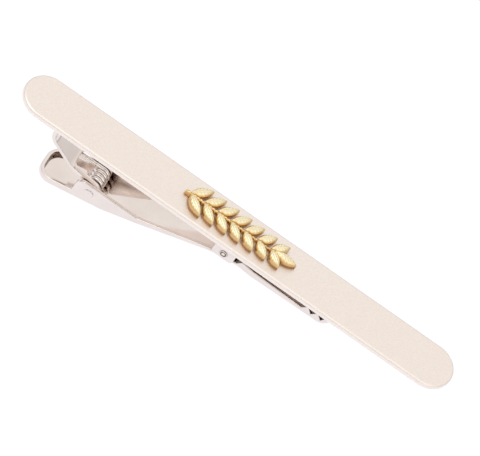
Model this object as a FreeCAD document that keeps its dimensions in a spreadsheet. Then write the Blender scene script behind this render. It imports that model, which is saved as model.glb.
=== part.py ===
"""Spring-loaded tie clip.

A flat, round-ended bar carries a leaf spray on its front. Behind its middle a bracket holds the
hinge pin of a pressed lever, with a thumb dish at one end and a toothed jaw at the other. A forked
strut on a second pin, pushed by a torsion spring, props the thumb end away from the bar and so
keeps the jaw shut.

Frame: X runs along the bar towards the jaw and Z points out of the bar's front. The origin lies
under the middle of the bar, level with the lowest point of the thumb dish. Millimetres, degrees.
"""
import FreeCAD, Part
import math
import os
import Sketcher

SIZES = {
    # Front bar
    "bar_length": 58.0,
    "bar_width": 6.0,
    "bar_thick": 0.8,
    "bar_front_round": 0.3,
    "bar_back_round": 0.2,
    # Leaf spray on the bar's front
    "spray_length": 15.0,
    "stem_width": 0.6,
    "stem_height": 0.55,
    "leaf_pairs": 7,
    "leaf_length": 3.0,
    "leaf_width": 1.3,
    "leaf_height": 0.95,
    "leaf_wall": 0.45,
    "leaf_angle": 42.0,
    # Bracket and hinge pin under the middle of the bar
    "pad_drop": 9.39,
    "bracket_length": 2.8,
    "bracket_sheet": 0.3,
    "bracket_ear_wall": 0.5,
    "bracket_corner": 0.45,
    "hinge_pin_radius": 0.35,
    "head_overhang": 0.12,
    "head_height": 0.12,
    # Lever: dish, ears, neck and jaw
    "lever_sheet": 0.45,
    "lever_edge_round": 0.45,
    "lever_width": 5.0,
    "waist_width": 4.5,
    "jaw_width": 5.0,
    "pad_reach": 22.4,
    "pad_corner": 1.9,
    "pad_slope": 13.0,
    "pad_lip": 0.65,
    "dish_back": 14.0,
    "ear_wall": 0.73,
    "ear_reach": 1.85,
    "ear_corner": 1.0,
    "ear_front": 10.1,
    "pivot_ear_wall": 0.21,
    "elbow_margin": 0.3,
    "elbow_bend": 3.0,
    "dish_bend": 2.0,
    "waist_lip": 0.2,
    "waist_margin_back": 0.8,
    "waist_margin_front": 0.3,
    "waist_flare": 2.2,
    "plan_bend": 3.0,
    "jaw_reach": 14.3,
    "notch_margin": 0.4,
    "shoulder_margin": 0.9,
    "shoulder_lip": 0.88,
    "jaw_step": 0.48,
    "jaw_tip_lip": 0.33,
    "jaw_corner": 1.5,
    "bite_gap": 0.25,
    "tooth_count": 3,
    "tooth_pitch": 1.3,
    "tooth_depth": 0.89,
    "tooth_back": 0.65,
    "tooth_lead": 0.5,
    # Strut and its pin
    "strut_pin_back": 16.15,
    "strut_pin_radius": 0.47,
    "strut_sheet": 0.5,
    "strut_arm_width": 0.65,
    "strut_slot_back": 3.2,
    "strut_slot_corner": 0.6,
    "strut_foot_back": 22.35,
    "strut_foot_round": 0.8,
    "strut_foot_curl": 40.0,
    "strut_knee_drop": 1.3,
    "strut_knee_bend": 1.8,
    "strut_eye_run": 3.5,
    "strut_eye_slope": 10.0,
    "strut_fork_bend": 3.0,
    # Torsion spring round the strut's pin
    "wire_radius": 0.105,
    "coil_inside_gap": 0.3,
    "coil_side_gap": 0.05,
    "coil_turns": 3,
    "floor_leg_back": 20.4,
    "strut_leg_tip": 1.3,
    # Clearances
    "running_gap": 0.04,
    "rivet_gap": 0.01,
    "bracket_side_gap": 0.15,
    "bracket_roof_gap": 0.05,
    "pin_floor_gap": 0.85,
    "strut_side_gap": 0.1,
    "strut_floor_gap": 0.44,
    "foot_gap": 0.04,
    "spring_gap": 0.03,
}

QUARTER_TURN = 90.0
ORIGIN = -1
POINTS_PER_ARC = 12
LEAST_LENGTH = 0.001

document = FreeCAD.newDocument("TieClip")
sheet = document.addObject("Spreadsheet::Sheet", "Sizes")
for row, (alias, value) in enumerate(SIZES.items(), start=1):
    sheet.set(f"A{row}", alias)
    sheet.set(f"B{row}", str(value))
    sheet.setAlias(f"B{row}", alias)
layout = document.addObject("Spreadsheet::Sheet", "Layout")
document.recompute()


class Size:
    """A length, angle or ratio: its present number and the sheet expression that gives it."""

    def __init__(self, number, text):
        self.number = number
        self.text = text

    def __add__(self, other):
        other = as_size(other)
        return Size(self.number + other.number, f"({self.text} + {other.text})")

    def __sub__(self, other):
        other = as_size(other)
        return Size(self.number - other.number, f"({self.text} - {other.text})")

    def __mul__(self, other):
        other = as_size(other)
        return Size(self.number * other.number, f"({self.text} * {other.text})")

    def __truediv__(self, other):
        other = as_size(other)
        return Size(self.number / other.number, f"({self.text} / {other.text})")

    def __neg__(self):
        return Size(-self.number, f"(0 - {self.text})")


def as_size(value):
    return value if isinstance(value, Size) else Size(float(value), str(value))


def size(alias):
    """The driving size with this name."""
    return Size(float(getattr(sheet, alias)), f"Sizes.{alias}")


def sine(angle):
    return Size(math.sin(math.radians(angle.number)), f"sin({angle.text})")


def cosine(angle):
    return Size(math.cos(math.radians(angle.number)), f"cos({angle.text})")


def tangent(angle):
    return Size(math.tan(math.radians(angle.number)), f"tan({angle.text})")


def root(value):
    return Size(math.sqrt(value.number), f"sqrt({value.text})")


def derived(alias, value):
    """Keep a worked-out place in the layout sheet under a name of its own."""
    row = len(layout.getUsedCells()) // 2 + 1
    layout.set(f"A{row}", alias)
    layout.set(f"B{row}", f"={value.text}")
    layout.setAlias(f"B{row}", alias)
    layout.recompute()
    return Size(float(getattr(layout, alias)), f"Layout.{alias}")


def derived_point(alias, point):
    return (derived(f"{alias}_x", point[0]), derived(f"{alias}_z", point[1]))


# Sizes that follow from the pieces that fit together
pivot_ear = derived("pivot_ear", size("hinge_pin_radius") + size("running_gap") + size("pivot_ear_wall"))
pin_ear = derived("pin_ear", size("strut_pin_radius") + size("rivet_gap") + size("ear_wall"))
bracket_inside = derived("bracket_inside", size("waist_width") + size("bracket_side_gap") * 2)
bracket_width = derived("bracket_width", bracket_inside + size("bracket_sheet") * 2)
channel_inside = size("lever_width") - size("lever_sheet") * 2
strut_width = derived("strut_width", channel_inside - size("strut_side_gap") * 2)
slot_width = derived("slot_width", strut_width - size("strut_arm_width") * 2)
eye_inside = size("strut_pin_radius") + size("running_gap")
eye_radius = derived("eye_radius", eye_inside + size("strut_sheet") / 2)
coil_radius = size("strut_pin_radius") + size("coil_inside_gap") + size("wire_radius")
shoulder_rim = derived("shoulder_rim", size("lever_sheet") + size("shoulder_lip"))
jaw_tip_rim = derived("jaw_tip_rim", size("lever_sheet") + size("jaw_tip_lip"))
waist_rim = derived("waist_rim", size("lever_sheet") + size("waist_lip"))
pad_rim = derived("pad_rim", size("lever_sheet") + size("pad_lip"))

# Heights and places that several pieces share
back_z = size("pad_drop")
front_z = derived("front_z", back_z + size("bar_thick"))
pivot_drop = size("bracket_sheet") + size("bracket_roof_gap") + pivot_ear
pivot_z = derived("pivot_z", back_z - pivot_drop)
bite_z = derived("bite_z", back_z - size("bite_gap"))
tooth_root_z = derived("tooth_root_z", bite_z - size("tooth_depth"))
ear_back = derived("ear_back", size("strut_pin_back") + size("ear_reach"))
dish_start = size("dish_back")
elbow_x = derived("elbow_x", -pivot_ear - size("elbow_margin"))
elbow_drop = size("hinge_pin_radius") + size("pin_floor_gap") + size("lever_sheet")
elbow_z = derived("elbow_z", pivot_z - elbow_drop)
# The dish slopes down to a corner whose rounding touches the origin's level
pad_slope = derived("pad_steepness", tangent(size("pad_slope")))
corner_lift = as_size(1) / cosine(size("pad_slope")) + pad_slope - 1
pad_low = derived("pad_low_z", -size("lever_edge_round") * corner_lift)
pad_rise = derived("pad_rise_z", pad_low + pad_slope * (size("pad_reach") - dish_start))
neck_slope = derived("neck_slope", (elbow_z - pad_rise) / (dish_start + elbow_x))
# The jaw begins past the bracket, a step above the elbow, and its rim runs into the last tooth's root
jaw_start = derived("jaw_start", size("bracket_length") / 2 + size("shoulder_margin"))
jaw_start_z = derived("jaw_start_z", elbow_z + size("jaw_step"))
step_slope = derived("step_slope", size("jaw_step") / (jaw_start - elbow_x))
teeth_length = size("tooth_lead") + size("tooth_pitch") * (size("tooth_count") - 1) + size("tooth_back")
jaw_rim_x = derived("jaw_rim_x", size("jaw_reach") - teeth_length)
jaw_rise = tooth_root_z - jaw_tip_rim - jaw_start_z
jaw_slope = derived("jaw_slope", jaw_rise / (jaw_rim_x - jaw_start))
# The strut's pin stands clear of the lever's floor by the strut's eye and a gap
strut_pin_x = derived("strut_pin_x", -size("strut_pin_back"))
under_pin = pad_low + pad_slope * (size("pad_reach") - size("strut_pin_back"))
floor_under_pin = under_pin + size("lever_sheet")
eye_outside = eye_radius + size("strut_sheet") / 2
strut_pin_z = derived("strut_pin_z", floor_under_pin + eye_outside + size("strut_floor_gap"))
zero = as_size(0)


def line_to(point):
    return {"to": point}


def arc_to(point, centre, radius, turn):
    """An arc of up to a quarter turn, to the left (anticlockwise) or to the right."""
    return {"to": point, "centre": centre, "radius": radius, "turn": turn}


def bend(alias, before, corner, after, radius):
    """The arc that rounds off a corner of a path, with the straight direction after it."""

    def way(leg, begin, end):
        run, rise = end[0] - begin[0], end[1] - begin[1]
        length = derived(f"{alias}_{leg}", root(run * run + rise * rise))
        return (run / length, rise / length)

    arrive, leave = way("arrive", before, corner), way("leave", corner, after)
    cross = arrive[0] * leave[1] - arrive[1] * leave[0]
    facing = arrive[0] * leave[0] + arrive[1] * leave[1]
    side = 1 if cross.number > 0 else -1
    reach = derived(f"{alias}_reach", radius * cross * side / (facing + 1))
    begin = (corner[0] - arrive[0] * reach, corner[1] - arrive[1] * reach)
    begin = derived_point(f"{alias}_begin", begin)
    end = derived_point(f"{alias}_end", (corner[0] + leave[0] * reach, corner[1] + leave[1] * reach))
    centre = (begin[0] - arrive[1] * radius * side, begin[1] + arrive[0] * radius * side)
    centre = derived_point(f"{alias}_centre", centre)
    turn = "left" if side > 0 else "right"
    return {"begin": begin, "end": end, "centre": centre, "radius": radius, "turn": turn, "way": leave}


def bend_moves(alias, before, corner, after, radius):
    """A line up to a corner of the outline, and the arc that rounds off a corner that turns."""
    arc = bend(alias, before, corner, after, radius)
    if vector(arc["begin"]).isEqual(vector(arc["end"]), LEAST_LENGTH):
        return [line_to(corner)]
    return [line_to(arc["begin"]), arc_to(arc["end"], arc["centre"], radius, arc["turn"])]


def polar(centre, radius, angle):
    return (centre[0] + radius * cosine(angle), centre[1] + radius * sine(angle))


def vector(point):
    return FreeCAD.Vector(point[0].number, point[1].number, 0)


def add_move(sketch, begin, move):
    """Draw one line or arc, and return its number and its begin and end point numbers."""
    if "centre" not in move:
        line = Part.LineSegment(vector(begin), vector(move["to"]))
        return sketch.addGeometry(line), 1, 2
    left = move["turn"] == "left"
    ends = (begin, move["to"]) if left else (move["to"], begin)
    spokes = [vector(end) - vector(move["centre"]) for end in ends]
    angles = [math.atan2(spoke.y, spoke.x) for spoke in spokes]
    circle = Part.Circle(vector(move["centre"]), FreeCAD.Vector(0, 0, 1), move["radius"].number)
    number = sketch.addGeometry(Part.ArcOfCircle(circle, *angles))
    bind(sketch, Sketcher.Constraint("Radius", number, move["radius"].number), move["radius"])
    return (number, 1, 2) if left else (number, 2, 1)


def bind(sketch, constraint, value):
    number = sketch.addConstraint(constraint)
    sketch.setExpression(f"Constraints[{number}]", value.text)


def draw(sketch, start, moves):
    """Draw a closed outline whose every corner is bound to the sheets."""
    drawn = []
    begin = start
    for move in moves:
        drawn.append(add_move(sketch, begin, move))
        begin = move["to"]
    for index, (number, _, end) in enumerate(drawn):
        following, first, _ = drawn[(index + 1) % len(drawn)]
        sketch.addConstraint(Sketcher.Constraint("Coincident", number, end, following, first))
        across, up = moves[index]["to"]
        place_x = Sketcher.Constraint("DistanceX", ORIGIN, 1, number, end, across.number)
        place_y = Sketcher.Constraint("DistanceY", ORIGIN, 1, number, end, up.number)
        bind(sketch, place_x, across)
        bind(sketch, place_y, up)


def draw_circle(sketch, centre, radius):
    circle = Part.Circle(vector(centre), FreeCAD.Vector(0, 0, 1), radius.number)
    number = sketch.addGeometry(circle)
    bind(sketch, Sketcher.Constraint("Radius", number, radius.number), radius)
    for kind, place in zip(("DistanceX", "DistanceY"), centre):
        bind(sketch, Sketcher.Constraint(kind, ORIGIN, 1, number, 3, place.number), place)


def new_body(label):
    body = document.addObject("PartDesign::Body", f"{label}_body")
    body.Label = label
    return body


def body_sketch(body, name, role, lift=None):
    """A sketch on one of the body's origin planes, lifted along that plane's normal."""
    sketch = body.newObject("Sketcher::SketchObject", name)
    plane = [item for item in body.Origin.OriginFeatures if item.Role == role][0]
    sketch.AttachmentSupport = (plane, [""])
    sketch.MapMode = "FlatFace"
    if lift is not None:
        sketch.setExpression("AttachmentOffset.Base.z", lift.text)
    return sketch


def pad(body, name, sketch, length, side="Symmetric"):
    feature = body.newObject("PartDesign::Pad", name)
    feature.Profile = sketch
    feature.SideType = side
    feature.setExpression("Length", length.text)
    document.recompute()
    return feature


def pocket_through(body, name, sketch):
    """Cut the sketch right through the body, both ways, and make sure that it cut something."""
    before = body.Shape.Volume
    feature = body.newObject("PartDesign::Pocket", name)
    feature.Profile = sketch
    feature.SideType = "Symmetric"
    feature.Type = "ThroughAll"
    document.recompute()
    if body.Shape.Volume >= before:
        raise RuntimeError(f"{name} cuts nothing from {body.Label}")
    return feature


def make_front_bar():
    """Flat bar with full-round ends; the front edge is rolled over, the back edge just eased."""
    body = new_body("front_bar")
    outline = body_sketch(body, "BarOutline", "XY_Plane", lift=back_z)
    half = size("bar_width") / 2
    reach = size("bar_length") / 2 - half
    corners = {side: (reach * side, zero) for side in (-1, 1)}
    start = (-reach, -half)
    moves = [
        line_to((reach, -half)),
        arc_to((reach + half, zero), corners[1], half, "left"),
        arc_to((reach, half), corners[1], half, "left"),
        line_to((-reach, half)),
        arc_to((-reach - half, zero), corners[-1], half, "left"),
        arc_to(start, corners[-1], half, "left"),
    ]
    draw(outline, start, moves)
    slab = pad(body, "BarSlab", outline, size("bar_thick"), side="One side")
    faces = slab.Shape.Faces
    by_height = sorted(range(len(faces)), key=lambda index: faces[index].CenterOfMass.z)
    front = body.newObject("PartDesign::Fillet", "RolledFront")
    front.Base = (slab, [f"Face{by_height[-1] + 1}"])
    front.setExpression("Radius", "min(Sizes.bar_front_round; Sizes.bar_thick * 0.55)")
    document.recompute()
    faces = front.Shape.Faces
    lowest = min(range(len(faces)), key=lambda index: faces[index].CenterOfMass.z)
    back = body.newObject("PartDesign::Fillet", "EasedBack")
    back.Base = (front, [f"Face{lowest + 1}"])
    back.setExpression("Radius", "min(Sizes.bar_back_round; Sizes.bar_thick * 0.35)")
    return body


def leaf_solid(base, angle, length, width, wall, height):
    """A pointed leaf standing on the bar, its upper half drawn in towards a raised midrib."""

    def outline(margin, lift):
        tail = FreeCAD.Vector(margin * length / width, 0, lift)
        tip = FreeCAD.Vector(length - margin * length / width, 0, lift)
        bulge = FreeCAD.Vector(0, width / 2 - margin, 0)
        middle = (tail + tip) / 2
        sides = [Part.Arc(tail, middle - bulge, tip), Part.Arc(tip, middle + bulge, tail)]
        return Part.Wire([side.toShape() for side in sides])

    midrib = 0.3 * width
    blade = Part.makeLoft([outline(0, 0), outline(0, wall)], True, True)
    crown = Part.makeLoft([outline(0, wall), outline(midrib, height)], True, True)
    leaf = blade.fuse(crown).removeSplitter()
    leaf.rotate(FreeCAD.Vector(), FreeCAD.Vector(0, 0, 1), angle)
    leaf.translate(base)
    return leaf


def make_leaf_spray():
    """A straight stem with opposite pairs of leaves that grow smaller, and one leaf at its end."""
    pairs = int(size("leaf_pairs").number)
    length = size("leaf_length").number
    half_length = size("spray_length").number / 2
    blade = [size(name).number for name in ("leaf_width", "leaf_wall", "leaf_height")]
    stem_width = size("stem_width").number
    stem_end = half_length - 0.8 * length
    first = -half_length + stem_width
    step = (stem_end - first - 0.35 * length) / (pairs - 1)
    stem_size = (stem_end + half_length, stem_width, size("stem_height").number)
    corner = FreeCAD.Vector(-half_length, -stem_width / 2, front_z.number)
    solid = Part.makeBox(*stem_size, corner)
    for pair in range(pairs):
        base = FreeCAD.Vector(first + pair * step, 0, front_z.number)
        share = 1 - 0.18 * pair / (pairs - 1)
        for side in (-1, 1):
            leaf = leaf_solid(base, side * size("leaf_angle").number, share * length, *blade)
            solid = solid.fuse(leaf)
    end_base = FreeCAD.Vector(half_length - length, 0, front_z.number)
    solid = solid.fuse(leaf_solid(end_base, 0, length, *blade)).removeSplitter()
    spray = document.addObject("Part::Feature", "LeafSpray")
    spray.Label = "leaf_spray"
    spray.Shape = solid.Solids[0] if len(solid.Solids) == 1 else solid
    spray.Placement = FreeCAD.Placement()
    return spray


def make_hinge_bracket():
    """Saddle on the bar's back with two ears that carry the hinge pin."""
    body = new_body("hinge_bracket")
    side = body_sketch(body, "EarOutline", "XZ_Plane")
    half = size("bracket_length") / 2
    corner = size("bracket_corner")
    ear_wall = size("hinge_pin_radius") + size("rivet_gap") + size("bracket_ear_wall")
    foot = derived("bracket_foot", pivot_z - ear_wall)
    start = (-half, back_z)
    moves = [
        line_to((-half, foot + corner)),
        arc_to((corner - half, foot), (corner - half, foot + corner), corner, "left"),
        line_to((half - corner, foot)),
        arc_to((half, foot + corner), (half - corner, foot + corner), corner, "left"),
        line_to((half, back_z)),
        line_to(start),
    ]
    draw(side, start, moves)
    pad(body, "Saddle", side, bracket_width)
    inside = body_sketch(body, "InsideOutline", "YZ_Plane")
    clear = bracket_inside / 2
    roof = back_z - size("bracket_sheet")
    below = foot - size("bracket_sheet")
    corners = [(-clear, below), (clear, below), (clear, roof), (-clear, roof)]
    draw(inside, corners[0], [line_to(point) for point in corners[1:] + corners[:1]])
    pocket_through(body, "Inside", inside)
    bore = body_sketch(body, "PinBore", "XZ_Plane")
    draw_circle(bore, (zero, pivot_z), size("hinge_pin_radius") + size("rivet_gap"))
    pocket_through(body, "PinHoles", bore)
    return body


def make_pin(label, place, radius, grip):
    """A rivet along Y: plain shank over the grip length and a low peened dome on each end."""
    body = new_body(label)
    head_radius = derived(f"{label}_head", radius + size("head_overhang"))
    half_profile = body_sketch(body, f"{label}_profile", "XY_Plane")
    rise = size("head_height")
    end = grip / 2
    dome = derived(f"{label}_dome", (head_radius * head_radius + rise * rise) / (rise * 2))
    start = (zero, -end - rise)
    moves = [
        arc_to((head_radius, -end), (zero, dome - end - rise), dome, "left"),
        line_to((radius, -end)),
        line_to((radius, end)),
        line_to((head_radius, end)),
        arc_to((zero, end + rise), (zero, end + rise - dome), dome, "left"),
        line_to(start),
    ]
    draw(half_profile, start, moves)
    turned = body.newObject("PartDesign::Revolution", f"{label}_turned")
    turned.Profile = half_profile
    turned.ReferenceAxis = (half_profile, ["V_Axis"])
    turned.Angle = 360
    body.setExpression("Placement.Base.x", place[0].text)
    body.setExpression("Placement.Base.z", place[1].text)
    return body


def side_sketch(name):
    """A free sketch in the XZ plane."""
    sketch = document.addObject("Sketcher::SketchObject", name)
    upright = FreeCAD.Rotation(FreeCAD.Vector(1, 0, 0), QUARTER_TURN)
    sketch.Placement = FreeCAD.Placement(FreeCAD.Vector(), upright)
    return sketch


def extrude(name, sketch, length, symmetric):
    feature = document.addObject("Part::Extrusion", name)
    feature.Base = sketch
    feature.DirMode = "Normal"
    feature.Solid = True
    feature.Symmetric = symmetric
    feature.setExpression("LengthFwd", length.text)
    return feature


def boolean(kind, name, base, tool):
    feature = document.addObject(kind, name)
    feature.Base = base
    feature.Tool = tool
    return feature


def cross_hole(name, place, radius, length):
    """A cylinder along Y, for a pin's hole."""
    hole = document.addObject("Part::Cylinder", name)
    hole.setExpression("Radius", radius.text)
    hole.setExpression("Height", length.text)
    hole.Placement.Rotation = FreeCAD.Rotation(FreeCAD.Vector(1, 0, 0), QUARTER_TURN)
    hole.setExpression("Placement.Base.x", place[0].text)
    hole.setExpression("Placement.Base.y", f"{length.text} / 2")
    hole.setExpression("Placement.Base.z", place[1].text)
    return hole


def jaw_floor(across):
    """Height of the jaw's underside at this place along the bar."""
    return jaw_start_z + jaw_slope * (across - jaw_start)


def notch_rim(across):
    """Height of the low rim between the hinge ear and the jaw's shoulder."""
    return elbow_z + step_slope * (across - elbow_x) + waist_rim


def tooth_moves():
    """Saw teeth along the jaw's rim, from the tip backwards: a steep back and a long slope."""
    moves = []
    for tooth in range(int(size("tooth_count").number)):
        peak = size("jaw_reach") - size("tooth_lead") - size("tooth_pitch") * tooth
        moves.append(line_to((peak, bite_z)))
        moves.append(line_to((peak - size("tooth_back"), tooth_root_z)))
    return moves


def draw_lever_side(sketch):
    """Side view: the underside from dish to jaw tip, then the rims and ears back to the dish.

    Both ends run past the plan's outline, which trims them.
    """
    past_dish = size("pad_reach") + size("lever_sheet")
    past_jaw = size("jaw_reach") + size("lever_sheet")
    heel_z = derived("heel_z", pad_rise - pad_slope * (past_dish - dish_start))
    toe = (past_jaw, derived("toe_z", jaw_floor(past_jaw)))
    dish = (-dish_start, pad_rise)
    elbow = (elbow_x, elbow_z)
    jaw_heel = (jaw_start, jaw_start_z)
    ear = pivot_ear
    notch = size("bracket_length") / 2 + size("notch_margin")
    pivot = (zero, pivot_z)
    ear_top = derived("ear_top_z", strut_pin_z + pin_ear)
    corner = size("ear_corner")
    corner_centre = (corner - ear_back, ear_top - corner)
    start = (-past_dish, heel_z)
    moves = [
        *bend_moves("dish", start, dish, elbow, size("dish_bend")),
        *bend_moves("elbow", dish, elbow, jaw_heel, size("elbow_bend")),
        *bend_moves("jaw_heel", elbow, jaw_heel, toe, size("elbow_bend")),
        line_to(toe),
        line_to((past_jaw, tooth_root_z)),
        *tooth_moves(),
        line_to((jaw_start, jaw_start_z + shoulder_rim)),
        line_to((notch, notch_rim(notch))),
        line_to((ear, notch_rim(ear))),
        line_to((ear, pivot_z)),
        arc_to((zero, pivot_z + ear), pivot, ear, "left"),
        arc_to((-ear, pivot_z), pivot, ear, "left"),
        line_to((-ear, elbow_z + waist_rim)),
        line_to((elbow_x, elbow_z + waist_rim)),
        line_to((-size("ear_front"), ear_top)),
        line_to((corner - ear_back, ear_top)),
        arc_to((-ear_back, ear_top - corner), corner_centre, corner, "left"),
        line_to((-ear_back, pad_rise + pad_slope * (dish_start - ear_back) + pad_rim)),
        line_to((-past_dish, heel_z + pad_rim)),
        line_to(start),
    ]
    draw(sketch, start, moves)


def draw_lever_hollow(sketch):
    """Side view of the space inside the channel, from its floor to the bar's back."""
    floor = size("lever_sheet")
    reach = size("jaw_reach")
    start = (-size("pad_reach"), pad_low + floor)
    moves = [
        line_to((-dish_start, pad_rise + floor)),
        line_to((elbow_x, elbow_z + floor)),
        line_to((jaw_start, jaw_start_z + floor)),
        line_to((reach, jaw_floor(reach) + floor)),
        line_to((reach, back_z)),
        line_to((-size("pad_reach"), back_z)),
        line_to(start),
    ]
    draw(sketch, start, moves)


def plan_side(alias, side, inset):
    """One long side of the plan, anticlockwise: dish, taper, waist in the bracket, flare and jaw."""
    dish = size("lever_width") / 2 - inset
    waist = size("waist_width") / 2 - inset
    jaw = size("jaw_width") / 2 - inset
    waist_start = -size("bracket_length") / 2 - size("waist_margin_back")
    waist_end = size("bracket_length") / 2 + size("waist_margin_front")
    flare = waist_end + size("waist_flare")
    corners = [
        (size("pad_corner") - size("pad_reach"), dish * side),
        (-size("ear_front"), dish * side),
        (waist_start, waist * side),
        (waist_end, waist * side),
        (flare, jaw * side),
        (size("jaw_reach") - size("jaw_corner"), jaw * side),
    ]
    if side > 0:
        corners.reverse()
    moves = []
    for number, trio in enumerate(zip(corners, corners[1:], corners[2:])):
        moves.extend(bend_moves(f"{alias}_{number}", *trio, size("plan_bend")))
    return corners[0], [*moves, line_to(corners[-1])]


def draw_lever_plan(sketch, alias, inset):
    """Top view: a dish and a jaw with round corners, and sides drawn in at the waist between."""
    corner = size("jaw_corner")
    straight = size("jaw_width") / 2 - corner
    tip = size("jaw_reach") - corner
    dish_corner = size("pad_corner")
    dish_straight = size("lever_width") / 2 - dish_corner
    dish_end = inset - size("pad_reach")
    dish_turn = dish_corner - size("pad_reach")
    start, near_side = plan_side(f"{alias}_near", -1, inset)
    far_start, far_side = plan_side(f"{alias}_far", 1, inset)
    moves = [
        *near_side,
        arc_to((tip + corner - inset, -straight), (tip, -straight), corner - inset, "left"),
        line_to((tip + corner - inset, straight)),
        arc_to(far_start, (tip, straight), corner - inset, "left"),
        *far_side,
        arc_to((dish_end, dish_straight), (dish_turn, dish_straight), dish_corner - inset, "left"),
        line_to((dish_end, -dish_straight)),
        arc_to(start, (dish_turn, -dish_straight), dish_corner - inset, "left"),
    ]
    draw(sketch, start, moves)


def underside_edges(shape):
    """Numbers of the edges where the lever's underside meets its upright sides."""
    numbers = []
    for number, edge in enumerate(shape.Edges, start=1):
        tilts = []
        for face in shape.ancestorsOfType(edge, Part.Face):
            u_first, u_last, v_first, v_last = face.ParameterRange
            middle = ((u_first + u_last) / 2, (v_first + v_last) / 2)
            tilts.append(face.normalAt(*middle).z)
        if len(tilts) == 2 and min(tilts) < -0.5 and abs(max(tilts)) < 0.1:
            numbers.append(number)
    return numbers


def make_lever():
    """Pressed channel: its side view crossed with its plan, hollowed, and bored for both pins."""
    widest = derived("lever_widest", size("lever_width") + size("jaw_width"))
    side = side_sketch("LeverSide")
    draw_lever_side(side)
    hollow_side = side_sketch("LeverHollowSide")
    draw_lever_hollow(hollow_side)
    plan = document.addObject("Sketcher::SketchObject", "LeverPlan")
    draw_lever_plan(plan, "plan", zero)
    hollow_plan = document.addObject("Sketcher::SketchObject", "LeverHollowPlan")
    draw_lever_plan(hollow_plan, "hollow", size("lever_sheet"))
    slab = extrude("LeverSlab", side, widest, True)
    column = extrude("LeverColumn", plan, back_z * 2, True)
    blank = boolean("Part::Common", "LeverBlank", slab, column)
    document.recompute()
    rounded = document.addObject("Part::Fillet", "LeverRounded")
    rounded.Base = blank
    radius = size("lever_edge_round").number
    rounded.Edges = [(number, radius, radius) for number in underside_edges(blank.Shape)]
    hollow_slab = extrude("HollowSlab", hollow_side, widest, True)
    hollow_column = extrude("HollowColumn", hollow_plan, back_z, False)
    hollow = boolean("Part::Common", "LeverHollow", hollow_slab, hollow_column)
    channel = boolean("Part::Cut", "LeverChannel", rounded, hollow)
    pivot_radius = size("hinge_pin_radius") + size("running_gap")
    pivot_hole = cross_hole("PivotHole", (zero, pivot_z), pivot_radius, widest)
    pin_radius = size("strut_pin_radius") + size("rivet_gap")
    pin_hole = cross_hole("StrutPinHole", (strut_pin_x, strut_pin_z), pin_radius, widest)
    pivoted = boolean("Part::Cut", "LeverPivoted", channel, pivot_hole)
    lever = boolean("Part::Cut", "LeverBored", pivoted, pin_hole)
    lever.Label = "lever"
    return lever


def strut_path():
    """The middle line of the strut's sheet: foot, two bends, and the point where the eyes begin."""
    half_sheet = size("strut_sheet") / 2
    slope = size("strut_eye_slope")
    foot_z = back_z - size("foot_gap") - size("strut_foot_round") - half_sheet
    foot = derived_point("foot_centre", (-size("strut_foot_back"), foot_z))
    heel = (foot[0] - size("strut_foot_round"), foot[1])
    knee = (heel[0], heel[1] - size("strut_knee_drop"))
    eye = derived_point("eye_begin", polar((strut_pin_x, strut_pin_z), eye_radius, -slope + QUARTER_TURN))
    run = size("strut_eye_run")
    fork = derived_point("fork", (eye[0] - run * cosine(slope), eye[1] + run * sine(slope)))
    return {
        "foot": foot,
        "knee": bend("knee", heel, knee, fork, size("strut_knee_bend")),
        "fork": bend("fork_bend", knee, fork, eye, size("strut_fork_bend")),
    }


def draw_strut_side(sketch, path):
    """The bent strip seen from the side: out along its inner face, back along its outer face."""
    half = size("strut_sheet") / 2
    foot, pin = path["foot"], (strut_pin_x, strut_pin_z)
    knee, fork = path["knee"], path["fork"]
    curl, up, left = size("strut_foot_curl"), as_size(QUARTER_TURN), as_size(2 * QUARTER_TURN)
    over_eye = up - size("strut_eye_slope")
    quarters = [over_eye - QUARTER_TURN * turn for turn in (1, 2, 3)]

    def foot_arc(radius, angle, turn):
        return arc_to(polar(foot, radius, angle), foot, radius, turn)

    def eye_arc(radius, angle, turn):
        return arc_to(polar(pin, radius, angle), pin, radius, turn)

    def on_face(arc, end, offset):
        """The point of a face abreast of the arc's begin or end."""
        share = (arc["radius"] + offset) / arc["radius"]
        return tuple(c + (p - c) * share for c, p in zip(arc["centre"], arc[end]))

    def face_bend(arc, offset, ends, turn):
        first, last = (on_face(arc, end, offset) for end in ends)
        return [line_to(first), arc_to(last, arc["centre"], arc["radius"] + offset, turn)]

    foot_inside = size("strut_foot_round") - half
    foot_outside = size("strut_foot_round") + half
    start = polar(foot, foot_inside, curl)
    out, back = ("begin", "end"), ("end", "begin")
    moves = [
        foot_arc(foot_inside, up, "left"),
        foot_arc(foot_inside, left, "left"),
        *face_bend(knee, -half, out, "left"),
        *face_bend(fork, -half, out, "left"),
        line_to(polar(pin, eye_radius + half, over_eye)),
        *[eye_arc(eye_radius + half, angle, "right") for angle in quarters],
        line_to(polar(pin, eye_radius - half, quarters[2])),
        *[eye_arc(eye_radius - half, angle, "left") for angle in (quarters[1], quarters[0], over_eye)],
        *face_bend(fork, half, back, "right"),
        *face_bend(knee, half, back, "right"),
        line_to(polar(foot, foot_outside, left)),
        foot_arc(foot_outside, up, "right"),
        foot_arc(foot_outside, curl, "right"),
        line_to(start),
    ]
    draw(sketch, start, moves)


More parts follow.
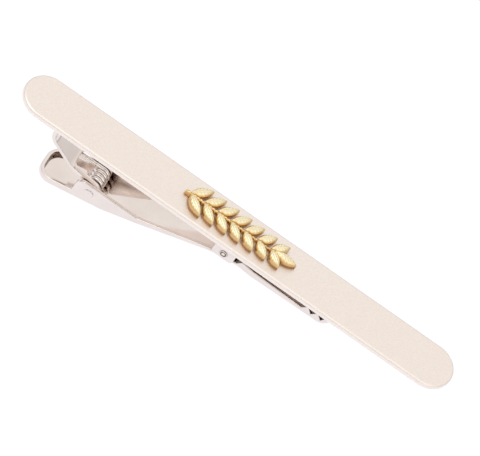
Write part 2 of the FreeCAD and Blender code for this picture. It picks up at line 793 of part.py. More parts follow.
def make_strut(path):
    """Bent strip: a curled foot that slides on the bar, and a fork rolled into two eyes."""
    body = new_body("strut")
    side = body_sketch(body, "StripSide", "XZ_Plane")
    draw_strut_side(side, path)
    pad(body, "Strip", side, strut_width)
    slot = body_sketch(body, "ForkSlot", "XY_Plane")
    half = slot_width / 2
    corner = size("strut_slot_corner")
    slot_root = derived("slot_root", strut_pin_x - size("strut_slot_back"))
    mouth = strut_pin_x + eye_radius + size("strut_sheet")
    start = (slot_root + corner, -half)
    moves = [
        line_to((mouth, -half)),
        line_to((mouth, half)),
        line_to((slot_root + corner, half)),
        arc_to((slot_root, half - corner), (slot_root + corner, half - corner), corner, "left"),
        line_to((slot_root, corner - half)),
        arc_to(start, (slot_root + corner, corner - half), corner, "left"),
    ]
    draw(slot, start, moves)
    pocket_through(body, "Fork", slot)
    return body


def touching_angle(target, centre, radius, side):
    """Where round the circle a straight line from the target touches it, on the given side."""
    away = target - centre
    return math.atan2(away.z, away.x) + side * math.acos(radius / away.Length)


def biarc(begin, begin_way, end, end_way):
    """Two arcs that leave the first point one way and reach the second the other way."""
    chord = end - begin
    ways = begin_way + end_way
    a = 2 * (1 - begin_way.dot(end_way))
    b = 2 * chord.dot(ways)
    reach = (math.sqrt(b * b + 4 * a * chord.dot(chord)) - b) / (2 * a)
    joint = (begin + end + (begin_way - end_way) * reach) / 2
    return [arc_from(begin, begin_way, joint), arc_from(end, end_way * -1, joint).reversed_arc()]


class WireArc:
    """One arc of the wire's middle line, known by three points."""

    def __init__(self, begin, middle, end):
        self.points = (begin, middle, end)

    def reversed_arc(self):
        return WireArc(*reversed(self.points))

    def curve(self):
        return Part.Arc(*self.points)


def arc_from(begin, way, end):
    """The arc that leaves a point in a given direction and ends at another point."""
    chord = end - begin
    across = chord - way * chord.dot(way)
    across.normalize()
    half_turn = math.atan2(chord.dot(across), chord.dot(way))
    radius = chord.Length / (2 * math.sin(half_turn))
    centre = begin + across * radius
    middle = centre - across * (radius * math.cos(half_turn)) + way * (radius * math.sin(half_turn))
    return WireArc(begin, middle, end)


def spring_ends(path):
    """Where the two legs press: on the dish's floor, and under the end of the strut's slot."""
    stand_off = size("wire_radius").number + size("spring_gap").number
    back = size("floor_leg_back").number
    floor_z = pad_low.number + pad_slope.number * (size("pad_reach").number - back)
    steep = math.atan(pad_slope.number)
    floor_point = FreeCAD.Vector(-back, 0, floor_z + size("lever_sheet").number)
    on_floor = floor_point + FreeCAD.Vector(-math.sin(steep), 0, math.cos(steep)) * stand_off
    slot_end = strut_pin_x.number - size("strut_slot_back").number
    corner = slot_end + size("strut_slot_corner").number
    run_end, run_way = path["fork"]["end"], path["fork"]["way"]
    along = FreeCAD.Vector(run_way[0].number, 0, run_way[1].number)
    run_z = run_end[1].number + (corner - run_end[0].number) * along.z / along.x
    away = FreeCAD.Vector(along.z, 0, -along.x)
    under_slot = FreeCAD.Vector(corner, 0, run_z) + away * (size("strut_sheet").number / 2 + stand_off)
    return on_floor, under_slot


def spring_line(path):
    """The wire's middle line: floor leg, turns of two arcs a quarter, and strut leg."""
    centre = FreeCAD.Vector(strut_pin_x.number, 0, strut_pin_z.number)
    radius = coil_radius.number
    on_floor, under_slot = spring_ends(path)
    start_angle = touching_angle(on_floor, centre, radius, 1)
    end_angle = touching_angle(under_slot, centre, radius, -1)
    sweep = (end_angle - start_angle) % (2 * math.pi) + 2 * math.pi * int(size("coil_turns").number)
    quarters = round(sweep / math.radians(QUARTER_TURN))
    rise = slot_width.number - 2 * (size("wire_radius").number + size("coil_side_gap").number)
    stations = []
    for station in range(quarters + 1):
        share = station / quarters
        angle = start_angle + share * sweep
        out = FreeCAD.Vector(math.cos(angle), 0, math.sin(angle))
        place = centre + out * radius + FreeCAD.Vector(0, (share - 0.5) * rise, 0)
        way = FreeCAD.Vector(-math.sin(angle), 0, math.cos(angle))
        if 0 < station < quarters:
            way = way + FreeCAD.Vector(0, rise / (sweep * radius), 0)
        stations.append((place, way.normalize()))
    arcs = []
    for (begin, begin_way), (end, end_way) in zip(stations, stations[1:]):
        arcs.extend(biarc(begin, begin_way, end, end_way))
    lead = on_floor - FreeCAD.Vector(0, rise / 2, 0)
    under_slot = under_slot + FreeCAD.Vector(0, rise / 2, 0)
    straight = (under_slot - stations[-1][0]).normalize()
    tail = under_slot + straight * size("strut_leg_tip").number
    return lead, stations[0][0], arcs, stations[-1][0], tail


def least_self_gap(curves, wire_radius):
    """The smallest clear space between two stretches of the wire that aren't neighbours."""
    points = []
    for curve in curves:
        points.extend(curve.toShape().discretize(POINTS_PER_ARC)[:-1])
    travelled = [0.0]
    for before, after in zip(points, points[1:]):
        travelled.append(travelled[-1] + before.distanceToPoint(after))
    apart = math.pi * coil_radius.number
    spaces = [
        points[i].distanceToPoint(points[j])
        for i in range(len(points))
        for j in range(i + 1, len(points))
        if travelled[j] - travelled[i] > apart
    ]
    return min(spaces) - 2 * wire_radius


def make_torsion_spring(path):
    """Round wire: one leg under the strut, turns round the pin, one leg on the lever's floor."""
    wire_radius = size("wire_radius").number
    lead, first, arcs, last, tail = spring_line(path)
    curves = [Part.LineSegment(lead, first)]
    curves.extend(arc.curve() for arc in arcs)
    curves.append(Part.LineSegment(last, tail))
    spine = Part.Wire([curve.toShape() for curve in curves])
    section = Part.Wire([Part.Circle(lead, first - lead, wire_radius).toShape()])
    shell = Part.BRepOffsetAPI.MakePipeShell(spine)
    shell.add(section)
    shell.build()
    shell.makeSolid()
    spring = document.addObject("Part::Feature", "TorsionSpring")
    spring.Label = "torsion_spring"
    spring.Shape = Part.Solid(shell.shape()) if shell.shape().ShapeType == "Shell" else shell.shape()
    spring.Placement = FreeCAD.Placement()
    gap = least_self_gap(curves, wire_radius)
    wanted = math.pi * wire_radius**2 * spine.Length
    print(f"torsion_spring: least gap to itself {gap:.3f} mm, wire {spine.Length:.2f} mm long")
    print(f"torsion_spring: volume {spring.Shape.Volume:.4f} mm3, section times length {wanted:.4f}")
    return spring


def make_all():
    path = strut_path()
    pivot, strut_pin = (zero, pivot_z), (strut_pin_x, strut_pin_z)
    return [
        make_front_bar(),
        make_leaf_spray(),
        make_hinge_bracket(),
        make_pin("hinge_pin", pivot, size("hinge_pin_radius"), bracket_width),
        make_lever(),
        make_strut(path),
        make_pin("strut_pin", strut_pin, size("strut_pin_radius"), size("lever_width")),
        make_torsion_spring(path),
    ]


def check(pieces):
    """Stop if anything in the document failed, or a piece isn't one sound solid."""
    for item in document.Objects:
        if "Invalid" in item.State or "Error" in item.State:
            raise RuntimeError(f"{item.Name} failed: {item.State}")
    for piece in pieces:
        shape = piece.Shape
        if shape.isNull() or not shape.isValid() or len(shape.Solids) != 1:
            raise RuntimeError(f"{piece.Label} isn't one valid solid")


pieces = make_all()
document.recompute()
check(pieces)
print(f"hinge pin at height {pivot_z.number:.4f}, strut pin at height {strut_pin_z.number:.4f}")
os.makedirs("parts", exist_ok=True)
for piece in pieces:
    piece.Shape.exportStep(f"parts/{piece.Label}.step")
    box = piece.Shape.BoundBox
    print(
        f"{piece.Label}: {piece.Shape.Volume:.3f} mm3, x {box.XMin:.2f} to {box.XMax:.2f}, "
        f"y {box.YMin:.2f} to {box.YMax:.2f}, z {box.ZMin:.2f} to {box.ZMax:.2f}"
    )
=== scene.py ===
import math

import bmesh
import bpy
from mathutils import Matrix, Vector


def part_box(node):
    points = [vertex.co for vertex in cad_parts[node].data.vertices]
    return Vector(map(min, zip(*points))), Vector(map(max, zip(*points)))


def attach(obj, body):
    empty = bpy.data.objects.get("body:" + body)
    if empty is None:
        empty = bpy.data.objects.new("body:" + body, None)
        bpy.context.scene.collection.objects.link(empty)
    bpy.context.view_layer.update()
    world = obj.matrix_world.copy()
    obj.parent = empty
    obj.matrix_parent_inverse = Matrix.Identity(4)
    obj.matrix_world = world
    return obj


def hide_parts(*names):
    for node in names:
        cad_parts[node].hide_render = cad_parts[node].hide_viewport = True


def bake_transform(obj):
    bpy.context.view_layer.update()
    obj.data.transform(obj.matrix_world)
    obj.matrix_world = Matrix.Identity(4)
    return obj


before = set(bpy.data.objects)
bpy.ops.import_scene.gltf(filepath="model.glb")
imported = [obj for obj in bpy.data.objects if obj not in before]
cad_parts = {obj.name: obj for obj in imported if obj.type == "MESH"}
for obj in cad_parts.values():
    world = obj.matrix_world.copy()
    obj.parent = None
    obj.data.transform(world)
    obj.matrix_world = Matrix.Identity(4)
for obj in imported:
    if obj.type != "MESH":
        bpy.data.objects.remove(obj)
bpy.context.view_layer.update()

MM = 0.001
IMAGE_WIDTH = 480
PIXELS_PER_MM = 8.935


def pin_place(node):
    """Where a pin's middle lies, along the bar and up, in millimetres."""
    low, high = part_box(node)
    middle = (low + high) / 2 / MM
    return middle.x, middle.z


FRONT_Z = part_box("front_bar")[1].z / MM
STRUT_PIN = pin_place("strut_pin")
HINGE_PIN = pin_place("hinge_pin")
SPRAY_HEIGHT = 0.95
HINGE_SHANK = 0.35
STRUT_SHANK = 0.47

# Places along the bar, and how open a wall there is where the painted shade starts to thin and where it
# ends; it stands in for the shade and dark reflections in the hollows
PAINTED_SHADE_PLACES = (-21.0, -20.0, -17.2, -16.2, -13.0, -9.0, -3.0, -1.5)
PAINTED_SHADE_FULL = (0.90, 0.0, 0.0, 0.45, 0.45, 0.10, 0.10, 0.45)
PAINTED_SHADE_NONE = (1.0, 0.30, 0.30, 0.85, 0.85, 0.50, 0.50, 0.90)

# Marks sunk in the rivets' ends: radius and depth of each point, from the middle to the brim
PUNCH_MARK = ((0.0, 0.07), (0.12, 0.05), (0.22, 0.005), (0.30, 0.0))
PRESSED_RING = (
    (0.0, 0.03),
    (0.20, 0.03),
    (0.23, 0.06),
    (0.24, 0.30),
    (0.36, 0.30),
    (0.38, 0.03),
    (0.40, 0.0),
)


# Camera: a long lens from above the clip's near side, rolled as in the photograph
def make_camera():
    sensor = 36.0
    lens = 1200.0
    toward = Vector((-0.0355, -0.630, 0.7765)).normalized()
    up = Vector((-0.572, 0.650, 0.500))
    right = up.cross(toward).normalized()
    up = toward.cross(right)
    aim = Vector((0, 0, FRONT_Z)) + right * 0.035 + up * 0.266
    distance = IMAGE_WIDTH / PIXELS_PER_MM * lens / sensor
    data = bpy.data.cameras.new("camera")
    data.sensor_width = sensor
    data.lens = lens
    camera = bpy.data.objects.new("camera", data)
    turn = Matrix((right, up, toward)).transposed().to_4x4()
    camera.matrix_world = Matrix.Translation((aim + toward * distance) * MM) @ turn
    bpy.context.collection.objects.link(camera)
    bpy.context.scene.camera = camera


# Materials
def linear(code):
    """An sRGB hex colour as linear RGBA."""
    channels = [int(code[i : i + 2], 16) / 255 for i in (1, 3, 5)]
    return [c / 12.92 if c <= 0.04045 else ((c + 0.055) / 1.055) ** 2.4 for c in channels] + [1.0]


def per_mm(spacing):
    """The texture scale that repeats once in so many millimetres."""
    return 1 / (spacing * MM)


def add_node(tree, kind, inputs=None, **settings):
    """A shader node with its settings, constants and links."""
    node = tree.nodes.new("ShaderNode" + kind)
    for name, value in settings.items():
        setattr(node, name, value)
    for name, value in (inputs or {}).items():
        if isinstance(value, bpy.types.NodeSocket):
            tree.links.new(value, node.inputs[name])
        else:
            node.inputs[name].default_value = value
    return node


def new_material(name):
    """An empty material with its node tree and its object coordinates."""
    material = bpy.data.materials.new(name)
    material.use_nodes = True
    tree = material.node_tree
    tree.nodes.clear()
    place = add_node(tree, "TexCoord").outputs["Object"]
    return material, tree, place


def two_tones(tree, value, first, second):
    """A blend of two colours, each given as its place on the ramp and its hex code."""
    shade = add_node(tree, "ValToRGB", {"Fac": value})
    for element, (place, code) in zip(shade.color_ramp.elements, (first, second)):
        element.position = place
        element.color = linear(code)
    return shade


def close_as_metal(tree, colour, dull, bump=None):
    """Ends a material as bare metal of a colour and roughness, with a bump where one is given."""
    inputs = {"Base Color": colour, "Metallic": 1.0, "Roughness": dull.outputs["Result"]}
    if bump:
        inputs["Normal"] = bump.outputs["Normal"]
    shader = add_node(tree, "BsdfPrincipled", inputs)
    add_node(tree, "OutputMaterial", {"Surface": shader.outputs["BSDF"]})


def seen_by_eye(tree, path):
    """One for rays from the camera, off mirrors and through glass, and nought for other rays."""
    seen = path.outputs["Is Camera Ray"]
    for kind in ("Is Glossy Ray", "Is Transmission Ray"):
        either = add_node(tree, "Math", {0: seen, 1: path.outputs[kind]}, operation="MAXIMUM")
        seen = either.outputs["Value"]
    return seen


def satin_nickel():
    """Nickel plate over a fine blasted blank: an even warm white with a pearly speckle."""
    material, tree, place = new_material("satin_nickel_plate")
    grit = add_node(tree, "TexNoise", {"Vector": place, "Scale": per_mm(0.16), "Detail": 3.0})
    cloud = add_node(tree, "TexNoise", {"Vector": place, "Scale": per_mm(9.0), "Detail": 2.0})
    shade = two_tones(tree, grit.outputs["Fac"], (0.28, "#EFE3D9"), (0.62, "#F6EBE2"))
    dull = add_node(tree, "MapRange", {"Value": cloud.outputs["Fac"], 3: 0.40, 4: 0.50})
    bump = add_node(
        tree, "Bump", {"Height": grit.outputs["Fac"], "Strength": 0.25, "Distance": 0.01 * MM}
    )
    close_as_metal(tree, shade.outputs["Color"], dull, bump)
    return material


def along_bar(tree, along, stops):
    """A value given at places along the bar, in millimetres, and even between them."""
    total = stops[0][1]
    for (place, value), (next_place, next_value) in zip(stops, stops[1:]):
        change = add_node(
            tree,
            "MapRange",
            {"Value": along, 1: place * MM, 2: next_place * MM, 3: 0.0, 4: next_value - value},
        )
        total = add_node(tree, "Math", {0: total, 1: change.outputs["Result"]}, operation="ADD")
        total = total.outputs["Value"]
    return total


def painted_recess_shade(tree, place, bright, reach, floor_shade_full, floor_shade_none):
    """The colour of a polished metal with painted shade in its recesses, darkest where ambient
    occlusion is lowest.

    The painted shade lies on walls sooner than on floors. It is strongest at the dish's closed end,
    round the spring and in the jaw, and thin where the strut's fork sweeps and along the open neck; it
    stands in for the shade and dark reflections in these hollows.
    """
    along = add_node(tree, "SeparateXYZ", {"Vector": place}).outputs["X"]
    wall_shade_full = along_bar(tree, along, tuple(zip(PAINTED_SHADE_PLACES, PAINTED_SHADE_FULL)))
    wall_shade_none = along_bar(tree, along, tuple(zip(PAINTED_SHADE_PLACES, PAINTED_SHADE_NONE)))
    facing = add_node(tree, "TexCoord").outputs["Normal"]
    upward = add_node(tree, "SeparateXYZ", {"Vector": facing}).outputs["Z"]
    flat = add_node(tree, "Math", {0: upward}, operation="ABSOLUTE").outputs["Value"]
    wall_end = 0.55
    floor_start = 0.92
    shade_full_end = add_node(
        tree, "MapRange", {"Value": flat, 1: wall_end, 2: floor_start, 3: wall_shade_full, 4: floor_shade_full}
    )
    shade_none_end = add_node(
        tree, "MapRange", {"Value": flat, 1: wall_end, 2: floor_start, 3: wall_shade_none, 4: floor_shade_none}
    )
    # Ambient occlusion decides where the painted shade falls
    open_sky = add_node(tree, "AmbientOcclusion", {"Distance": reach * MM}, samples=8)
    painted_shade = add_node(
        tree,
        "MapRange",
        {
            "Value": open_sky.outputs["AO"],
            1: shade_full_end.outputs["Result"],
            2: shade_none_end.outputs["Result"],
        },
    )
    # Mixes the painted shade's dark colour into the metal where it lies in a hollow
    mixed = add_node(
        tree,
        "Mix",
        {0: painted_shade.outputs["Result"], 6: linear("#78665C"), 7: bright},
        data_type="RGBA",
    )
    return mixed.outputs[2]


def polished_nickel(name, shade_reach, floor_shade_levels, dullness):
    """Nickel plate on pressed steel strip: bright, with faint rolling lines that blur what it mirrors.

    Painted shade lies in hollows up to the given reach, in millimetres, across; it stands in for the
    shade and dark reflections there.
    """
    material, tree, place = new_material(name)
    along = add_node(tree, "Mapping", {"Vector": place, "Scale": (0.06, 1.0, 1.0)})
    lines = add_node(
        tree, "TexNoise", {"Vector": along.outputs["Vector"], "Scale": per_mm(0.09), "Detail": 2.0}
    )
    cloud = add_node(tree, "TexNoise", {"Vector": place, "Scale": per_mm(2.5), "Detail": 3.0})
    shade = two_tones(tree, cloud.outputs["Fac"], (0.30, "#E3D7CF"), (0.65, "#EADFD8"))
    dull = add_node(
        tree, "MapRange", {"Value": lines.outputs["Fac"], 3: 0.6 * dullness, 4: 1.4 * dullness}
    )
    bump = add_node(
        tree, "Bump", {"Height": lines.outputs["Fac"], "Strength": 0.10, "Distance": 0.01 * MM}
    )
    # Painted shade in the hollows, mixed into the plate's colour
    colour = painted_recess_shade(tree, place, shade.outputs["Color"], shade_reach, *floor_shade_levels)
    close_as_metal(tree, colour, dull, bump)
    return material


def gold_plate(foot, top):
    """Gold plate on a cast relief, with a painted highlight of pale satin yellow on the tops and
    painted shade, tawny, low on the walls.
    """
    material, tree, place = new_material("gold_plate_on_casting")
    height = add_node(tree, "SeparateXYZ", {"Vector": place}).outputs["Z"]
    # Painted highlight and shade by height: pale on the relief's tops, tawny down its walls, with a
    # random tone over it
    share = add_node(tree, "MapRange", {"Value": height, 1: foot * MM, 2: top * MM})
    grit = add_node(tree, "TexNoise", {"Vector": place, "Scale": per_mm(0.2), "Detail": 3.0})
    worn = add_node(tree, "MapRange", {"Value": grit.outputs["Fac"], 3: -0.12, 4: 0.12})
    mixed = add_node(
        tree, "Math", {0: share.outputs["Result"], 1: worn.outputs["Result"]}, operation="ADD"
    )
    shade = two_tones(tree, mixed.outputs["Value"], (0.10, "#C9965C"), (0.95, "#FAEFCB"))
    shade.color_ramp.elements.new(0.62).color = linear("#E6C68C")
    dull = add_node(tree, "MapRange", {"Value": grit.outputs["Fac"], 3: 0.24, 4: 0.40})
    bump = add_node(
        tree, "Bump", {"Height": grit.outputs["Fac"], "Strength": 0.18, "Distance": 0.01 * MM}
    )
    close_as_metal(tree, shade.outputs["Color"], dull, bump)
    return material


def spring_steel():
    """Drawn spring wire: bright grey steel with soft streaks from the die."""
    material, tree, place = new_material("drawn_spring_steel")
    streaks = add_node(tree, "TexNoise", {"Vector": place, "Scale": per_mm(0.22), "Detail": 2.0})
    shade = two_tones(tree, streaks.outputs["Fac"], (0.30, "#DED3CC"), (0.65, "#F4ECE6"))
    dull = add_node(tree, "MapRange", {"Value": streaks.outputs["Fac"], 3: 0.16, 4: 0.30})
    # Painted shade darkens the gaps between the coil's turns and round the pin
    shade_reach = 0.10
    colour = painted_recess_shade(tree, place, shade.outputs["Color"], shade_reach, 0.1, 0.5)
    close_as_metal(tree, colour, dull)
    return material


# Pieces
def finish_piece(bm, name, material, body, node):
    """Makes a mesh object of a bmesh, shades it, sets what it rides on, and hides the CAD node it
    replaces.
    """
    bmesh.ops.recalc_face_normals(bm, faces=bm.faces)
    mesh = bpy.data.meshes.new(name)
    bm.to_mesh(mesh)
    bm.free()
    mesh.shade_smooth()
    mesh.materials.append(material)
    piece = bpy.data.objects.new(name, mesh)
    bpy.context.collection.objects.link(piece)
    weighted = piece.modifiers.new("flat faces stay flat", "WEIGHTED_NORMAL")
    weighted.keep_sharp = True
    if body:
        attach(piece, body)
    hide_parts(node)
    return piece


def of_kind(geometry, kind):
    """The items of one kind among the results of an operator."""
    return [item for item in geometry if isinstance(item, kind)]


def round_edges(bm, edges, width, steps):
    """Rounds edges off over a width in millimetres."""
    bmesh.ops.bevel(
        bm,
        geom=edges,
        offset=width * MM,
        offset_type="OFFSET",
        segments=steps,
        profile=0.5,
        affect="EDGES",
        material=-1,
    )


def make_front_bar(material):
    """The flat bar with full-round ends, its front edge softer than its back edge."""
    low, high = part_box("front_bar")
    radius = (high.y - low.y) / 2
    reach = (high.x - low.x) / 2 - radius
    end_steps = 96
    front_round = 0.3
    back_round = 0.2
    bm = bmesh.new()
    half_step = math.pi / end_steps
    made = bmesh.ops.create_circle(
        bm, cap_ends=True, segments=end_steps, radius=radius / math.cos(half_step)
    )
    verts = made["verts"]
    bmesh.ops.rotate(bm, verts=verts, matrix=Matrix.Rotation(half_step, 3, "Z"))
    for side in (-1, 1):
        end = [v for v in verts if v.co.x * side > 0]
        bmesh.ops.translate(bm, verts=end, vec=(side * reach, 0, 0))
    bmesh.ops.translate(bm, verts=verts, vec=(0, 0, low.z))
    raised = bmesh.ops.extrude_face_region(bm, geom=bm.faces[:])
    bmesh.ops.translate(
        bm, verts=of_kind(raised["geom"], bmesh.types.BMVert), vec=(0, 0, high.z - low.z)
    )
    for level, width in ((high.z, front_round), (low.z, back_round)):
        rim = [e for e in bm.edges if all(abs(v.co.z - level) < 0.01 * MM for v in e.verts)]
        round_edges(bm, rim, width, 5)
    return finish_piece(bm, "bar_plate", material, "bar", "front_bar")


def softened_copy(node, width, steps):
    """A merged copy of a CAD node: outer edges broken by tumbling and plating, inside corners crisp."""
    bm = bmesh.new()
    bm.from_mesh(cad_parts[node].data)
    bmesh.ops.remove_doubles(bm, verts=bm.verts, dist=0.0005 * MM)
    bmesh.ops.dissolve_limit(
        bm, angle_limit=math.radians(0.5), verts=bm.verts, edges=bm.edges
    )
    sharp = [
        e for e in bm.edges
        if e.is_manifold and e.is_convex and e.calc_face_angle(0) > math.radians(32)
    ]
    round_edges(bm, sharp, width, steps)
    for edge in bm.edges:
        if edge.is_manifold and edge.calc_face_angle(0) > math.radians(40):
            edge.smooth = False
    return bm


def make_lever(material):
    """The pressed channel: thumb dish, two ears, neck and toothed jaw."""
    bm = softened_copy("lever", 0.12, 3)
    return finish_piece(bm, "lever_pressing", material, "lever", "lever")


def make_strut(material):
    """The forked, curled strip between the second rivet and the bar's back."""
    bm = softened_copy("strut", 0.08, 2)
    return finish_piece(bm, "strut_strip", material, "strut", "strut")


def make_bracket(material):
    """The small saddle on the bar's back that holds the hinge."""
    bm = softened_copy("hinge_bracket", 0.05, 2)
    return finish_piece(bm, "bracket_saddle", material, "bar", "hinge_bracket")


def make_rivet(node, name, place, shank, mark, body, material):
    """A rivet turned as one piece: shank, two low domed heads, and a mark sunk in each.

    The mark is given as points of radius and depth, from its middle to its brim.
    """
    low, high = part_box(node)
    head = (high.x - low.x) / 2 / MM
    end = high.y / MM
    lip = end - 0.12
    brim = mark[-1][0]
    crown = ((0.3, 0.0), (0.6, 0.02), (0.9, 0.075))
    outline = [(radius, end - depth) for radius, depth in mark]
    outline.extend((brim + share * (head - brim), end - depth) for share, depth in crown)
    outline.extend([(head, lip), (shank, lip)])
    outline = outline + [(radius, -across) for radius, across in reversed(outline)]
    bm = bmesh.new()
    verts = [bm.verts.new(Vector((radius, across, 0)) * MM) for radius, across in outline]
    edges = [bm.edges.new(pair) for pair in zip(verts, verts[1:])]
    bmesh.ops.spin(
        bm,
        geom=verts + edges,
        cent=(0, 0, 0),
        axis=(0, 1, 0),
        angle=2 * math.pi,
        steps=48,
        use_merge=True,
    )
    bmesh.ops.remove_doubles(bm, verts=bm.verts, dist=0.001 * MM)
    bmesh.ops.translate(bm, verts=bm.verts, vec=Vector((place[0], 0, place[1])) * MM)
    return finish_piece(bm, name, material, body, node)


def touching_angle(target, radius, side):
    """Where round the coil a straight leg from the target touches it."""
    away = Vector(target) - Vector(STRUT_PIN)
    return math.atan2(away.y, away.x) + side * math.acos(radius / away.length)


def make_spring(material):
    """Round wire: a leg on the dish's floor, close turns round the pin, and a leg under the strut."""
    wire = 0.285
    coil = 0.80
    half_rise = 0.99
    turns = 3
    steps = 144
    # Ends of the floor leg and of the strut leg, along the bar and up
    lead = (-17.90, 1.93)
    tail = (-20.10, 3.96)
    first_angle = touching_angle(lead, coil, 1)
    last_angle = touching_angle(tail, coil, -1)
    sweep = (last_angle - first_angle) % (2 * math.pi) + 2 * math.pi * turns
    first = Vector(STRUT_PIN) + coil * Vector((math.cos(first_angle), math.sin(first_angle)))
    last = Vector(STRUT_PIN) + coil * Vector((math.cos(last_angle), math.sin(last_angle)))
    start = Vector((lead[0], -half_rise, lead[1]))
    leg = Vector((first.x, -half_rise, first.y)) - start
    bm = bmesh.new()
    made = bmesh.ops.create_circle(bm, cap_ends=True, segments=20, radius=wire * MM)
    ring = made["verts"]
    turn = Vector((0, 0, 1)).rotation_difference(leg.normalized()).to_matrix()
    bmesh.ops.rotate(bm, verts=ring, matrix=turn)
    bmesh.ops.translate(bm, verts=ring, vec=start * MM)

    def run(edges, way):
        drawn = bmesh.ops.extrude_edge_only(bm, edges=edges)["geom"]
        ends = of_kind(drawn, bmesh.types.BMVert)
        bmesh.ops.translate(bm, verts=ends, vec=way * MM)
        return [e for e in of_kind(drawn, bmesh.types.BMEdge) if all(v in ends for v in e.verts)]

    loop = run(bm.edges[:], leg)
    wound = bmesh.ops.spin(
        bm,
        geom=loop + list({v for e in loop for v in e.verts}),
        cent=Vector((STRUT_PIN[0], 0, STRUT_PIN[1])) * MM,
        axis=(0, -1, 0),
        dvec=(0, 2 * half_rise / steps * MM, 0),
        angle=sweep,
        steps=steps,
    )["geom_last"]
    loop = of_kind(wound, bmesh.types.BMEdge)
    loop = run(loop, Vector((tail[0] - last.x, 0, tail[1] - last.y)))
    bmesh.ops.edgeloop_fill(bm, edges=loop)
    ends = [e for e in bm.edges if e.is_manifold and e.calc_face_angle(0) > math.radians(60)]
    round_edges(bm, ends, 0.06, 2)
    piece = finish_piece(bm, "spring_wire", material, None, "torsion_spring")
    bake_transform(piece)
    return piece


def add_leaf(bm, base, angle, length, width, wall, height):
    """A pointed leaf in relief: two swelling halves, a midrib between grooves, and side veins."""
    steps = 44
    strips = 18
    veins = 7
    made = bmesh.ops.create_grid(bm, x_segments=steps, y_segments=strips, size=0.5)
    verts = made["verts"]
    for vert in verts:
        along = vert.co.x + 0.5
        across = 2 * vert.co.y
        half = width / 2 * max(0.0, math.sin(math.pi * along)) ** 0.85
        off = abs(across)
        swell = (1 - off**2.6) * max(0.0, math.sin(math.pi * along)) ** 0.4
        groove = 0.30 * math.exp(-(((off - 0.17) / 0.08) ** 2))
        vein = 0.26 * max(0.0, math.cos(2 * math.pi * (veins * along - 1.5 * off))) ** 3
        vein = vein * min(1.0, max(0.0, (off - 0.2) / 0.15))
        relief = max(0.0, swell - (groove + vein) * swell)
        vert.co = Vector((along * length, across * half, wall + (height - wall) * relief)) * MM
    bmesh.ops.remove_doubles(bm, verts=verts, dist=0.002 * MM)
    verts = [v for v in verts if v.is_valid]
    rim = [e for e in {e for v in verts for e in v.link_edges} if e.is_boundary]
    drawn = bmesh.ops.extrude_edge_only(bm, edges=rim)["geom"]
    foot = of_kind(drawn, bmesh.types.BMVert)
    for vert in foot:
        vert.co.z = 0
    foot_edges = [e for e in of_kind(drawn, bmesh.types.BMEdge) if all(v in foot for v in e.verts)]
    bmesh.ops.edgeloop_fill(bm, edges=foot_edges)
    turn = Matrix.Rotation(math.radians(angle), 3, "Z")
    bmesh.ops.rotate(bm, verts=verts + foot, matrix=turn)
    bmesh.ops.translate(bm, verts=verts + foot, vec=Vector(base) * MM)


def add_stem(bm, begin, end, width, height):
    """A half-round stem with the close rings of a twisted cord, on the bar's front."""
    rings = 120
    ring_pitch = 0.42
    made = bmesh.ops.create_circle(bm, cap_ends=True, segments=28, radius=1.0)
    profile = made["verts"]
    bmesh.ops.rotate(bm, verts=profile, matrix=Matrix.Rotation(math.pi / 2, 3, "Y"))
    scale = Vector((1, width / 2 * MM, height * MM))
    bmesh.ops.scale(bm, verts=profile, vec=scale)
    bmesh.ops.translate(bm, verts=profile, vec=Vector((begin, 0, FRONT_Z)) * MM)
    loop = list({e for v in profile for e in v.link_edges})
    stem = list(profile)
    step = (end - begin) / rings
    for ring in range(rings):
        drawn = bmesh.ops.extrude_edge_only(bm, edges=loop)["geom"]
        ends = of_kind(drawn, bmesh.types.BMVert)
        bmesh.ops.translate(bm, verts=ends, vec=(step * MM, 0, 0))
        loop = [e for e in of_kind(drawn, bmesh.types.BMEdge) if all(v in ends for v in e.verts)]
        stem.extend(ends)
    bmesh.ops.edgeloop_fill(bm, edges=loop)
    for vert in stem:
        along = vert.co.x / MM - begin
        lean = vert.co.y / MM * 0.6
        taper = 1 - 0.35 * along / (end - begin)
        ridge = 1 + 0.10 * math.cos(2 * math.pi * (along + lean) / ring_pitch)
        vert.co.y = vert.co.y * taper * ridge
        vert.co.z = FRONT_Z * MM + (vert.co.z - FRONT_Z * MM) * taper * ridge
    geometry = stem + list({e for v in stem for e in v.link_edges})
    geometry = geometry + list({f for v in stem for f in v.link_faces})
    cut = bmesh.ops.bisect_plane(
        bm,
        geom=geometry,
        dist=0.001 * MM,
        plane_co=(0, 0, FRONT_Z * MM),
        plane_no=(0, 0, -1),
        clear_outer=True,
    )["geom_cut"]
    bmesh.ops.edgeloop_fill(bm, edges=of_kind(cut, bmesh.types.BMEdge))


def make_leaf_spray(material):
    """A stem with opposite pairs of leaves that grow smaller, and one leaf at its end."""
    half_length = 7.5
    pairs = 7
    length = 3.0
    width = 1.3
    wall = 0.45
    spread = 42
    stem_width = 0.6
    stem_height = 0.62
    stem_end = half_length - 0.8 * length
    first = -half_length + stem_width
    step = (stem_end - first - 0.35 * length) / (pairs - 1)
    bm = bmesh.new()
    for pair in range(pairs):
        share = 1 - 0.18 * pair / (pairs - 1)
        for side in (-1, 1):
            base = (first + pair * step, 0, FRONT_Z)
            add_leaf(bm, base, side * spread, share * length, width, wall, SPRAY_HEIGHT)
    add_leaf(bm, (half_length - length, 0, FRONT_Z), 0, length, width, wall, SPRAY_HEIGHT)
    add_stem(bm, -half_length, stem_end, stem_width, stem_height)
    return finish_piece(bm, "leaf_relief", material, "bar", "leaf_spray")


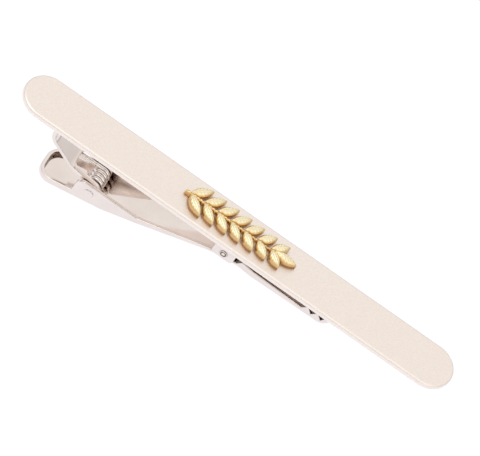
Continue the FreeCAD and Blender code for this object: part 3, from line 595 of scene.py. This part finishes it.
# Stage: a white floor and surround, and soft lamps
def make_floor():
    """A pale floor well below the clip, white to the eye, that still takes its shadow."""
    bm = bmesh.new()
    bmesh.ops.create_grid(bm, x_segments=1, y_segments=1, size=1.5)
    bmesh.ops.translate(bm, verts=bm.verts, vec=(0, 0, -40 * MM))
    mesh = bpy.data.meshes.new("floor")
    bm.to_mesh(mesh)
    bm.free()
    floor = bpy.data.objects.new("floor", mesh)
    bpy.context.collection.objects.link(floor)
    material, tree, _ = new_material("white_floor_paper")
    paper = add_node(tree, "BsdfDiffuse", {"Color": linear("#E9ECF6")})
    glow = add_node(tree, "Emission", {"Color": (1, 1, 1, 1), "Strength": 0.45})
    lit = add_node(tree, "AddShader", {0: paper.outputs[0], 1: glow.outputs[0]})
    path = add_node(tree, "LightPath")
    white = add_node(
        tree, "MixShader", {0: seen_by_eye(tree, path), 1: paper.outputs[0], 2: lit.outputs[0]}
    )
    below = add_node(tree, "NewGeometry").outputs["Backfacing"]
    clear = add_node(tree, "BsdfTransparent")
    one_sided = add_node(tree, "MixShader", {0: below, 1: white.outputs[0], 2: clear.outputs[0]})
    add_node(tree, "OutputMaterial", {"Surface": one_sided.outputs[0]})
    mesh.materials.append(material)


def make_world():
    """White to the eye, in metal too, and a plain level of light from all round."""
    world = bpy.data.worlds.new("white_surround")
    bpy.context.scene.world = world
    world.use_nodes = True
    tree = world.node_tree
    tree.nodes.clear()
    path = add_node(tree, "LightPath")
    way = add_node(tree, "TexCoord").outputs["Generated"]
    height = add_node(tree, "SeparateXYZ", {"Vector": way}).outputs["Z"]
    dim = add_node(tree, "MapRange", {"Value": height, 1: 0.0, 2: 0.5, 3: 0.55, 4: 1.0})
    in_metal = add_node(
        tree,
        "Mix",
        {0: path.outputs["Is Glossy Ray"], 2: 1.0, 3: dim.outputs["Result"]},
        data_type="FLOAT",
    )
    level = add_node(
        tree, "MapRange", {"Value": seen_by_eye(tree, path), 3: 0.6, 4: in_metal.outputs[0]}
    )
    light = add_node(
        tree, "Background", {"Color": (1, 1, 1, 1), "Strength": level.outputs["Result"]}
    )
    add_node(tree, "OutputWorld", {"Surface": light.outputs[0]})


def make_lamp(name, place, size, power):
    """A square soft lamp that faces the clip."""
    data = bpy.data.lights.new(name, "AREA")
    data.shape = "SQUARE"
    data.size = size
    data.energy = power
    lamp = bpy.data.objects.new(name, data)
    lamp.location = place
    lamp.rotation_euler = Vector(place).to_track_quat("Z", "Y").to_euler()
    bpy.context.collection.objects.link(lamp)


make_camera()
# The reach and floor levels given here set where painted shade darkens each nickel's hollows
pressed_nickel = polished_nickel("nickel_plate_in_a_deep_pressing", 2.0, (0.04, 0.34), 0.11)
open_nickel = polished_nickel("nickel_plate_on_open_strip", 0.3, (0.40, 0.85), 0.06)
make_front_bar(satin_nickel())
make_leaf_spray(gold_plate(FRONT_Z, FRONT_Z + SPRAY_HEIGHT))
make_bracket(pressed_nickel)
make_rivet("hinge_pin", "hinge_rivet", HINGE_PIN, HINGE_SHANK, PRESSED_RING, "bar", open_nickel)
make_lever(pressed_nickel)
make_rivet("strut_pin", "strut_rivet", STRUT_PIN, STRUT_SHANK, PUNCH_MARK, "lever", open_nickel)
make_strut(open_nickel)
make_spring(spring_steel())
make_floor()
make_world()
make_lamp("key lamp", (-0.18, -0.10, 0.34), 0.25, 0.25)
make_lamp("fill lamp", (0.22, -0.25, 0.20), 0.25, 0.10)
bpy.context.scene.view_settings.view_transform = "Standard"
